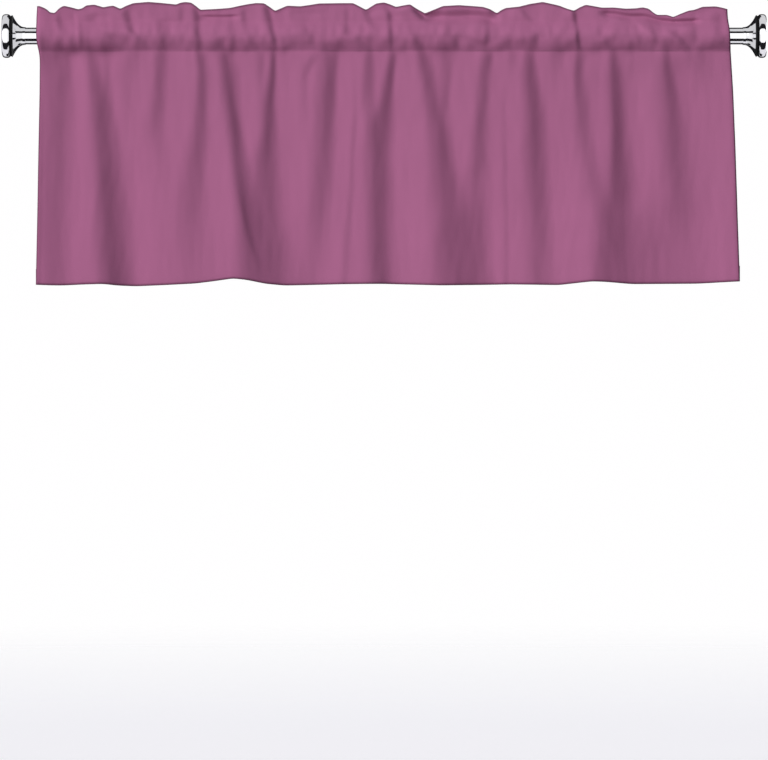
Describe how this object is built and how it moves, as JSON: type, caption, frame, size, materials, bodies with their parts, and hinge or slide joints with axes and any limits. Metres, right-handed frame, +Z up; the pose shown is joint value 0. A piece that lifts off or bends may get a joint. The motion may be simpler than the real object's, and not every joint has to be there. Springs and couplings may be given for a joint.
{
  "type": "rod-pocket valance curtain on a rod",
  "caption": "Plain plum valance with a ruffled top edge, gathered by its rod pocket on a chrome rod with flared disc ends.",
  "frame": {"origin": "centre of the left end's flat outer face, on the rod's axis", "axes": "+X along the rod towards the right end, the front of the curtain faces -Y, +Z up"},
  "size_m": [1.274, 0.0728, 0.47],
  "materials": {
    "plum_cloth": "matte",
    "rod_chrome": "polished",
    "end_chrome": "polished"
  },
  "bodies": {
    "root": {"valance": "plum_cloth", "rod": "rod_chrome", "left_end": "end_chrome", "right_end": "end_chrome"}
  },
  "joints": []
}
